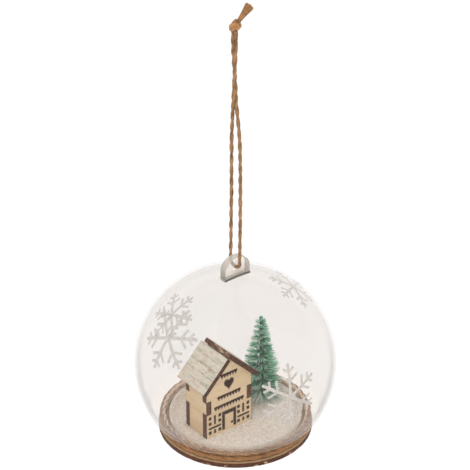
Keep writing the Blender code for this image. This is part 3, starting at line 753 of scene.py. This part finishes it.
def make_knot(centre, mat, rng, hairs):
    """An overhand knot drawn tight: the strands' bend, a thick slanting wrap and a turn round the tails."""
    weaver = Weaver()
    left = UP.cross(TAIL_ACROSS).normalized()
    if left.dot(TAIL_DIRECTION) > 0:
        left = -left
    bend = [centre - UP * 0.9 * MM, centre + left * 0.3 * MM, centre + TAIL_DIRECTION * KNOT_WIDTH * 0.45]
    twine(weaver, smooth_route(bend, TWINE_STEP), KNOT_BEND_D, rng, plies=3, lay=4.0)
    axis = (left * KNOT_WRAP_TILT + UP).normalized()
    middle = centre - left * 0.15 * MM + UP * 0.35 * MM
    ring = coil(middle, TAIL_ACROSS, axis.cross(TAIL_ACROSS), KNOT_WRAP_RADIUS, KNOT_WRAP_TURNS, 48,
                axis * KNOT_WRAP_CLIMB)
    twine(weaver, ring, KNOT_WRAP_D, rng, plies=3, lay=7.0, shades=(0.45, 0.8))
    collar = centre + TAIL_DIRECTION * KNOT_WIDTH * 0.36
    turn = coil(collar, TAIL_ACROSS, TAIL_DIRECTION.cross(TAIL_ACROSS), KNOT_COLLAR_RADIUS, 1.0, 32)
    twine(weaver, turn, KNOT_COLLAR_D, rng)
    fuzz(hairs, ring, KNOT_HAIR_FOOT, KNOT_HAIRS, KNOT_HAIR, rng)
    knot = weaver.piece("jute_knot", mat, "hanger")
    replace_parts(knot, "hang_knot")
    return knot


def make_tails(centre, mat, rng):
    """The two cut ends: fibres laid together that open towards a straight cut."""
    up = TAIL_DIRECTION.cross(TAIL_ACROSS)
    cut = KNOT_WIDTH / 2 + CORD_GAP + sum(TAIL_LENGTHS.values()) / 2
    made = []
    for name, side in zip(TAIL_LENGTHS, (-1, 1)):
        base = centre + TAIL_ACROSS * side * TAIL_ASIDE
        weaver = Weaver()
        for _ in range(TAIL_FIBRES):
            turn = rng.uniform(0.0, math.tau)
            spot = (TAIL_ACROSS * math.cos(turn) + up * math.sin(turn)) * math.sqrt(rng.random())
            reach = cut + rng.gauss(0.0, TAIL_RAGGED)
            path = []
            for share in (0.3, 0.5, 0.75, 1.0):
                open_out = 0.6 + 1.7 * max(0.0, share - 0.35) ** 1.2
                path.append(base + TAIL_DIRECTION * reach * share + spot * open_out * MM)
            weaver.tube(path, TAIL_FIBRE_RADII, 5, rng.uniform(0.45, 1.0))
        tail = weaver.piece("jute_" + name, mat, "hanger")
        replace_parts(tail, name)
        made.append(tail)
    return made


def make_winding(mat):
    """Two turns of twine round the neck, with the climb and both ends at the rear."""
    rng = random.Random(5)
    low = DISC_TOP + CORD_GAP + RIM_CORD_D / 2
    radius = NECK_RADIUS + CORD_GAP + RIM_CORD_D / 2
    end = 2 * math.tau - RIM_CORD_CLIMB - 2 * RIM_CORD_D / radius
    count = round(end * radius / WINDING_STEP)
    path = []
    for i in range(count + 1):
        turn = end * i / count
        share = min(1.0, max(0.0, (turn - (math.tau - RIM_CORD_CLIMB)) / RIM_CORD_CLIMB))
        height = low + RIM_CORD_PITCH * share * share * (3 - 2 * share)
        angle = RIM_CORD_START + turn
        path.append(Vector((radius * math.cos(angle), radius * math.sin(angle), height)))
    change = round(count * (math.tau - RIM_CORD_CLIMB / 2) / end)
    weaver = Weaver()
    twine(weaver, path[:change + 1], LOWER_TURN_D, rng, plies=3, lay=7.0, shades=(0.5, 0.9))
    # The upper turn gets darker shades than the lower one: painted shade under the shoulder.
    twine(weaver, path[change:], UPPER_TURN_D, rng, lay=3.4, shades=(0.1, 0.7))
    fuzz(weaver, path[change:], RIM_CORD_D / 2, WINDING_HAIRS, WINDING_HAIR, rng)
    winding = weaver.piece("rim_twine", mat, "globe")
    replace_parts(winding, "rim_cord")


# Clear globe

def globe_profile():
    """The wall's section, as (radius, height) points down the outside and up the inside."""
    meet = math.atan2(SHOULDER_Z - GLOBE_Z, SHOULDER_R)
    turn_end = -math.pi / 2 + SHELF_SLOPE
    section = []
    for angle in arc_angles(math.pi / 2, meet, 60):
        section.append((0.0, GLOBE_Z, GLOBE_RADIUS, angle, 1))
    for angle in arc_angles(meet, turn_end, 14)[1:]:
        section.append((SHOULDER_R, SHOULDER_Z, SHOULDER_RADIUS, angle, 1))
    shelf_r = SHOULDER_R + SHOULDER_RADIUS * math.cos(turn_end)
    shelf_z = SHOULDER_Z + SHOULDER_RADIUS * math.sin(turn_end)
    fillet_r = NECK_RADIUS + NECK_FILLET
    fall = (shelf_r - fillet_r + NECK_FILLET * math.cos(turn_end)) * math.tan(SHELF_SLOPE)
    fillet_z = shelf_z - fall + NECK_FILLET * math.sin(turn_end)
    for angle in arc_angles(turn_end, 0.0, 7):
        section.append((fillet_r, fillet_z, NECK_FILLET, angle, -1))
    outer = []
    inner = []
    for x, z, radius, angle, bend in section:
        for line, sink in ((outer, 0.0), (inner, GLOBE_WALL)):
            reach = bend * radius - sink
            line.append((max(0.0, x + reach * math.cos(angle)), z + reach * math.sin(angle)))
    outer.append((NECK_RADIUS, GLOBE_FOOT))
    inner.append((NECK_RADIUS - GLOBE_WALL, GLOBE_FOOT))
    return outer + inner[::-1]


def revolved(name, profile, steps):
    mesh = bpy.data.meshes.new(name)
    points = [(radius, 0.0, level) for radius, level in profile]
    mesh.from_pydata(points, [(i, i + 1) for i in range(len(points) - 1)], [])
    obj = new_object(name, mesh)
    screw = obj.modifiers.new("turn", "SCREW")
    screw.steps = steps
    screw.render_steps = steps
    screw.use_merge_vertices = True
    screw.merge_threshold = WELD
    return obj


def tab_curve():
    """The hanging tab: a half-round plate with a hole and softly rounded edges."""
    curve = bpy.data.curves.new("tab", "CURVE")
    curve.dimensions = "2D"
    curve.fill_mode = "BOTH"
    curve.extrude = TAB_THICKNESS / 2 - TAB_ROUNDING
    curve.bevel_depth = TAB_ROUNDING
    curve.bevel_resolution = 3
    curve.offset = -TAB_ROUNDING
    half = TAB_WIDTH / 2
    corner = math.hypot(half, TAB_THICKNESS / 2)
    foot = GLOBE_Z + math.sqrt(GLOBE_RADIUS ** 2 - corner ** 2) - TAB_SINK - TAB_ROUNDING
    outline = [(half * math.cos(a), HOLE_Z + (half - TAB_LOWERED) * math.sin(a))
               for a in arc_angles(0.0, math.pi, 41)]
    outline += [(-half, foot), (half, foot)]
    hole = [(TAB_HOLE_RADIUS * math.cos(a), HOLE_Z + TAB_HOLE_RADIUS * math.sin(a))
            for a in arc_angles(0.0, math.tau, 41)[:-1]]
    for loop in (outline, hole):
        spline = curve.splines.new("POLY")
        spline.points.add(len(loop) - 1)
        for slot, (x, y) in zip(spline.points, loop):
            slot.co = (x, y, 0.0, 1.0)
        spline.use_cyclic_u = True
    return new_object("tab", curve)


def weld(mesh):
    bm = bmesh.new()
    bm.from_mesh(mesh)
    bmesh.ops.remove_doubles(bm, verts=bm.verts, dist=WELD)
    bmesh.ops.recalc_face_normals(bm, faces=bm.faces)
    bm.to_mesh(mesh)
    bm.free()


def make_globe():
    wall = clear_wall()
    clear, glow = srgb(253, 251, 249), srgb(252, 247, 241)
    shoulder = clear_block("clear_shoulder", clear, 0.03, srgb(240, 232, 222), glow, 0.03, 0.5)
    neck = clear_block("clear_neck", clear, 0.05, glow, glow, 0.12, 0.3)
    plate = clear_block("clear_plate", clear, 0.2, glow, glow, 0.015, 0.15)
    # The tab's side faces get a greyer scatter than its front and back, darkest at the foot, and the bead's
    # front is dark: painted shade.
    rim = clear_block("clear_rim_shaded", srgb(226, 221, 214), 0.7, srgb(138, 134, 124), srgb(202, 196, 187),
                      0.02, 0.2)
    bead = clear_block("clear_bead_shaded", srgb(206, 202, 194), 0.5, srgb(128, 125, 117), glow, 0.015, 0.15)
    ball_mesh = baked_mesh(revolved("ball", globe_profile(), BALL_STEPS))
    tab_mesh = baked_mesh(tab_curve())
    tab_mesh.transform(Matrix.Rotation(math.pi / 2, 4, "X"))
    for mesh in (ball_mesh, tab_mesh):
        mesh.materials.clear()
        weld(mesh)
        mesh.shade_smooth()
    for face in ball_mesh.polygons:
        below = face.center.z < SHOULDER_Z - 0.5 * SHOULDER_RADIUS
        near_axis = math.hypot(face.center.x, face.center.y) < NECK_RADIUS + NECK_FILLET
        upright = abs(face.normal.z) < 0.3
        face.material_index = 2 if below and near_axis and upright else int(below)
    ball = add_piece("clear_globe", ball_mesh, [wall, shoulder, neck], "globe")
    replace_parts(ball, "globe")
    tab_mesh.set_sharp_from_angle(angle=math.radians(20.0))
    for face in tab_mesh.polygons:
        in_hole = math.hypot(face.center.x, face.center.z - HOLE_Z) < TAB_HOLE_RADIUS + TAB_ROUNDING
        face.material_index = 0 if in_hole or abs(face.normal.y) > 0.9 else 1
    tab = add_piece("clear_tab", tab_mesh, [plate, rim], "globe")
    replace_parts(tab, "globe")
    make_fillet({"front": bead, "rest": plate})


def make_fillet(mats):
    """The small fillet round the tab's foot on the ball, dark along its front edge with painted shade."""
    half, deep = TAB_WIDTH / 2, TAB_THICKNESS / 2
    runs = {"front": [(half, -deep), (-half, -deep)],
            "rest": [(-half, -deep), (-half, deep), (half, deep), (half, -deep)]}
    for name, corners in runs.items():
        path = []
        for (x0, y0), (x1, y1) in zip(corners, corners[1:]):
            for i in range(13):
                path.append((x0 + (x1 - x0) * i / 13, y0 + (y1 - y0) * i / 13))
        path.append(corners[-1])
        line = [Vector((x, y, GLOBE_Z + math.sqrt(GLOBE_RADIUS ** 2 - x * x - y * y))) for x, y in path]
        weaver = Weaver()
        weaver.tube(line, [TAB_FILLET] * len(line), 8, 0.5)
        weaver.piece("tab_fillet_" + name, mats[name], "globe")


def flake_outline(radius, stroke):
    """A six-armed flake: each arm has two pairs of barbs that lean towards its tip."""
    half = stroke * radius
    barb_half = FLAKE_BARB_STROKE * half
    lean = (math.sin(FLAKE_BARB_LEAN), math.cos(FLAKE_BARB_LEAN))
    right = [(half, half / math.tan(math.radians(30.0)))]
    for start, length in FLAKE_BARBS:
        for at_tip, side in ((False, -1), (True, -1), (True, 1), (False, 1)):
            reach = length * radius if at_tip else (half + side * lean[1] * barb_half) / lean[0]
            x = lean[0] * reach - side * lean[1] * barb_half
            y = start * radius + lean[1] * reach + side * lean[0] * barb_half
            right.append((x, y))
    right.append((half, radius))
    arm = right + [(-x, y) for x, y in reversed(right)]
    outline = []
    for k in range(6):
        c, s = math.cos(k * math.pi / 3), math.sin(k * math.pi / 3)
        outline += [(x * c - y * s, x * s + y * c) for x, y in arm]
    return outline


def make_flake(name, bearing, height, turn, radius, stroke, mat):
    """Print a flake on the ball: a flat outline, cut into small cells and laid on the curve."""
    outline = flake_outline(radius, stroke)
    bm = bmesh.new()
    flat = bm.faces.new([bm.verts.new((x, y, 0.0)) for x, y in outline])
    flat.normal_update()
    bmesh.ops.triangulate(bm, faces=bm.faces)
    cells = math.ceil(radius / FLAKE_CELL)
    for axis in ((1.0, 0.0, 0.0), (0.0, 1.0, 0.0)):
        for cell in range(-cells, cells + 1):
            geometry = list(bm.verts) + list(bm.edges) + list(bm.faces)
            place = Vector(axis) * cell * FLAKE_CELL
            bmesh.ops.bisect_plane(bm, geom=geometry, plane_co=place, plane_no=axis, dist=1e-7)
    made = bmesh.ops.extrude_face_region(bm, geom=list(bm.faces))["geom"]
    lifted = [item for item in made if isinstance(item, bmesh.types.BMVert)]
    for vert in lifted:
        vert.co.z = FLAKE_THICKNESS
    azimuth = math.radians(bearing)
    out = outward(azimuth, math.radians(height))
    east = Vector((math.cos(azimuth), math.sin(azimuth), 0.0))
    north = out.cross(east)
    spin = Matrix.Rotation(math.radians(turn), 3, out)
    east, north = spin @ east, spin @ north
    centre = UP * GLOBE_Z
    for vert in bm.verts:
        reach = math.hypot(vert.co.x, vert.co.y)
        way = (east * vert.co.x + north * vert.co.y) / max(reach, 1e-9)
        angle = reach / GLOBE_RADIUS
        level = GLOBE_RADIUS + FLAKE_LIFT + vert.co.z
        vert.co = centre + (out * math.cos(angle) + way * math.sin(angle)) * level
    bmesh.ops.recalc_face_normals(bm, faces=bm.faces)
    add_piece(name, mesh_from(bm, name), [mat], "globe")


# Snow

def snow_height(x, y):
    """The snow's depth on the disc: soft drifts, thin at the house, banked at the tree and the neck."""
    out_x = max(house_low.x - x, 0.0, x - house_high.x)
    out_y = max(house_low.y - y, 0.0, y - house_back.y)
    wall = math.hypot(out_x, out_y)
    tree = math.hypot(x - TREE_PLACE.x, y - TREE_PLACE.y)
    rim = SNOW_RADIUS - math.hypot(x, y)
    depth = SNOW_DEPTH
    for size, scale, layer in SNOW_DRIFTS:
        depth += size * noise.noise(Vector((x * scale, y * scale, layer)))
    for distance, (rise, width) in ((tree, TREE_BANK), (rim, NECK_BANK), (wall, HOUSE_HOLLOW)):
        depth += rise * math.exp(-(distance / width) ** 2)
    return max(SNOW_LEAST, depth)


def make_snow(mat):
    rings, steps = SNOW_RINGS, SNOW_STEPS
    bottom = snow_low.z
    verts = [Vector((0.0, 0.0, bottom + snow_height(0.0, 0.0)))]
    for ring in range(1, rings + 1):
        radius = SNOW_RADIUS * ring / rings
        for step in range(steps):
            angle = math.tau * step / steps
            x, y = radius * math.cos(angle), radius * math.sin(angle)
            verts.append(Vector((x, y, bottom + snow_height(x, y))))
    faces = [(0, 1 + step, 1 + (step + 1) % steps) for step in range(steps)]
    for ring in range(rings - 1):
        low = 1 + ring * steps
        for step in range(steps):
            after = (step + 1) % steps
            faces.append((low + step, low + steps + step, low + steps + after, low + after))
    foot = len(verts)
    last = 1 + (rings - 1) * steps
    verts += [Vector((v.x, v.y, bottom)) for v in verts[last:]]
    for step in range(steps):
        after = (step + 1) % steps
        faces.append((last + step, foot + step, foot + after, last + after))
    faces.append(tuple(foot + step for step in reversed(range(steps))))
    mesh = bpy.data.meshes.new("snow_layer")
    mesh.from_pydata(verts, [], faces)
    mesh.shade_smooth()
    layer = add_piece("snow_layer", mesh, [mat], "globe")
    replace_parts(layer, "snow_bed")


def make_grains(mat):
    """Loose granules on the snow, each a small lump of its own."""
    rng = random.Random(21)
    bm = bmesh.new()
    made = 0
    while made < SNOW_GRAINS:
        radius = SNOW_RADIUS * math.sqrt(rng.random()) * 0.985
        angle = rng.uniform(0.0, math.tau)
        x, y = radius * math.cos(angle), radius * math.sin(angle)
        if house_low.x - 0.2 * MM < x < house_high.x + 0.2 * MM and house_low.y < y < house_back.y:
            continue
        size = rng.uniform(*SNOW_GRAIN_SIZES)
        place = Matrix.Translation((x, y, snow_low.z + snow_height(x, y) + size * 0.3))
        turn = Matrix.Rotation(rng.uniform(0.0, math.pi), 4, Vector((rng.random(), rng.random(), 0.3)))
        shape = Matrix.Diagonal((1.0, rng.uniform(0.7, 1.0), rng.uniform(0.55, 0.9), 1.0))
        bmesh.ops.create_icosphere(bm, subdivisions=1, radius=size, matrix=place @ turn @ shape)
        made += 1
    add_piece("snow_grains", mesh_from(bm, "snow_grains"), [mat], "globe")


# Tree

def make_tree(bristle, wire):
    """Bristles held in a twist of two wires, so that they stand in two winding rows."""
    rng = random.Random(3)
    weaver = Weaver()
    turn = rng.uniform(0.0, math.tau)
    step = TREE_HEIGHT / TREE_BRISTLES
    for i in range(TREE_BRISTLES):
        share = (i + rng.random()) / TREE_BRISTLES
        turn += math.tau * step / (TREE_PITCH_LOW + (TREE_PITCH_HIGH - TREE_PITCH_LOW) * share)
        way = turn + math.pi * (i % 2) + rng.gauss(0.0, TREE_SCATTER)
        tip = TREE_TIP_SHARE * min(1.0, 0.25 + (1.0 - share) / 0.1)
        reach = TREE_REACH * (tip + (1.0 - TREE_TIP_SHARE) * (1.0 - share))
        reach *= 1.0 - TREE_SHORTER * rng.random() ** 2
        tuft = noise.noise(Vector((4.0 * (i % 2), i / TREE_TUFT, 0.5)))
        reach *= 1.0 - TREE_TUFT_DEPTH * max(0.0, -tuft)
        lift = math.radians(rng.gauss(2.0 + 14.0 * share - 26.0 * max(0.0, 0.12 - share) / 0.12, 6.0))
        out = Vector((math.cos(way), math.sin(way), math.tan(lift))).normalized()
        sway = Vector((-math.sin(way), math.cos(way), 0.0)) * rng.gauss(0.0, 0.08)
        curl = Vector((0.0, 0.0, rng.gauss(0.03, 0.05)))
        foot = TREE_PLACE + UP * (TREE_FOOT + share * TREE_HEIGHT)
        path = [foot + (out + (sway + curl) * s) * reach * s for s in (0.03, 0.4, 0.75, 1.0)]
        for point in path:
            point.z = max(point.z, snow_low.z + BRISTLE_FLOOR)
        thick = rng.uniform(0.8, 1.25) * TREE_BRISTLE_RADIUS
        # White bristles: frost towards the foot, and painted glints scattered over the whole tree.
        frost_and_glint = rng.random() < TREE_FROST_AND_GLINT + 0.6 * max(0.0, 0.18 - share) / 0.18
        # The tuft noise that cuts some tufts short also paints them darker and the others lighter: painted
        # shade and light for the rows and the gaps between them.
        shade = 1.0 if frost_and_glint else min(0.95, max(0.0, 0.85 * rng.random() + 0.5 * tuft))
        weaver.tube(path, [thick, thick, 0.9 * thick, 0.5 * thick], 3, shade, reach)
    needles = weaver.piece("tree_needles", bristle, "globe")
    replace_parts(needles, "tree_bristles")
    stem = Weaver()
    low, high = wire_low.z, wire_high.z - STEM_SHORT
    middle = TREE_PLACE + UP * (low + high) / 2
    for side in (1.0, -1.0):
        path = coil(middle, Vector((side, 0.0, 0.0)), Vector((0.0, side, 0.0)), STEM_ORBIT, STEM_TURNS,
                    STEM_STEPS, UP * (high - low))
        stem.tube(path, [STEM_WIRE_RADIUS] * len(path), 8, 0.5)
    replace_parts(stem.piece("tree_stem", wire, "globe"), "tree_wire")


# House and base

def dress(name, mat):
    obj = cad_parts[name]
    obj.data.materials.clear()
    obj.data.materials.append(mat)


def grown_copy(name, mat, grow):
    """A copy of a solid whose vertices are moved by grow, so that it meets its neighbour."""
    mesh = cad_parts[name].data.copy()
    mesh.materials.clear()
    for vert in mesh.vertices:
        vert.co += grow(vert.co)
    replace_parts(add_piece(name + "_sheet", mesh, [mat], "globe"), name)


def gable_growth(place):
    """Lift the gable's two slopes until they touch the roof, and open its cut lines a little."""
    def near(value, target):
        return abs(value - target) < NEAR

    x = place.x - (house_low.x + house_high.x) / 2
    z = place.z - house_low.z
    grow = Vector()
    if near(place.z, house_high.z - abs(x)):
        grow.z = ROOF_LIFT
    for height, length in ICICLE_ROWS:
        if near(z, height + ICICLE_BAR / 2) and near(abs(x), length / 2):
            grow.z = 0.5 * CUT_WIDER
        elif near(z, height - ICICLE_BAR / 2 - ICICLE_TOOTH):
            grow.z = -CUT_WIDER
    if near(abs(x), DOOR_WIDTH / 2):
        grow.x = math.copysign(CUT_WIDER, x)
        grow.z = CUT_WIDER if near(z, DOOR_TOP) else 0.0
    return grow


def ridge_growth(place):
    """Draw the left panel's upper end out to the right panel."""
    up = Vector((1.0, 0.0, 1.0)).normalized()
    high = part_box("roof_left")[1]
    end = max(up.x * high.x + up.z * (high.z - PLY * up.z), up.x * (high.x - PLY * up.x) + up.z * high.z)
    return up * GLUE if place.dot(up) > end - NEAR else Vector()


def dress_house():
    pale, warm, line = srgb(236, 213, 178), srgb(222, 197, 158), srgb(196, 165, 124)
    along_x = plywood("ply_gable", (0.0, 1.0, 0.0), (0, 1, 1), pale, warm, line)
    along_y = plywood("ply_side", (1.0, 0.0, 0.0), (1, 0, 1), pale, warm, line)
    for name in ("wall_front", "wall_back"):
        grown_copy(name, along_x, gable_growth)
    for name in ("wall_left", "wall_right"):
        dress(name, along_y)
    grown_copy("roof_left", washed_roof("left", -1), ridge_growth)
    dress("roof_right", washed_roof("right", 1))
    dress("base_disc", base_wood())


# Camera, light and floor

def make_camera():
    data = bpy.data.cameras.new("camera")
    data.sensor_width = SENSOR
    data.lens = FOCAL_PIXELS / PHOTO_SIDE * SENSOR
    camera = new_object("camera", data)
    back = outward(-CAMERA_AZIMUTH, CAMERA_ELEVATION)
    camera.location = UP * GLOBE_Z + back * CAMERA_DISTANCE
    look = (AIM - camera.location).to_track_quat("-Z", "Y")
    camera.rotation_mode = "QUATERNION"
    camera.rotation_quaternion = look @ Matrix.Rotation(CAMERA_ROLL, 3, "Z").to_quaternion()
    bpy.context.scene.camera = camera


def make_light():
    world = bpy.data.worlds.new("studio")
    world.use_nodes = True
    sky = world.node_tree.nodes["Background"]
    sky.inputs["Color"].default_value = SKY
    sky.inputs["Strength"].default_value = WORLD_STRENGTH
    scene = bpy.context.scene
    scene.world = world
    data = bpy.data.lights.new("overhead", "SUN")
    data.energy = SUN_STRENGTH
    data.angle = SUN_ANGLE
    sun = new_object("overhead", data)
    sun.rotation_euler = SUN_FROM.to_track_quat("Z", "Y").to_euler()
    sun.visible_glossy = False
    scene.view_settings.view_transform = "Standard"
    scene.cycles.transparent_max_bounces = CLEAR_LAYERS


def make_floor():
    mat, tree, shader = new_material("floor")
    tone = ramp(tree, grain(tree, coordinates(tree), 3.0), (0.3, 0.87), (0.7, 0.89))
    plug(tree, shader, {"Base Color": tone, "Roughness": 0.9})
    bm = bmesh.new()
    bmesh.ops.create_grid(bm, x_segments=2, y_segments=2, size=FLOOR_SIZE / 2)
    floor = new_object("floor", mesh_from(bm, "floor"))
    floor.data.materials.append(mat)
    floor.location.z = disc_low.z - FLOOR_DROP


def main():
    make_camera()
    strand = jute("jute", srgb(90, 61, 37), srgb(188, 145, 102))
    make_loop(strand, jute("jute_ends", srgb(98, 60, 31), srgb(196, 146, 99)))
    # 0.95 is the share of painted reflection veil on the winding's side towards the axis.
    make_winding(jute("rim_jute", srgb(64, 37, 18), srgb(172, 127, 86), 0.95))
    make_light()
    make_floor()
    make_globe()
    for name, (*shape, cover, grey) in FLAKES.items():
        make_flake(name, *shape, print_material(name + "_print", cover, grey))
    snow = snow_material("snow_white")
    make_snow(snow)
    make_grains(snow)
    make_tree(bristle_material(), wire_material())
    dress_house()


main()
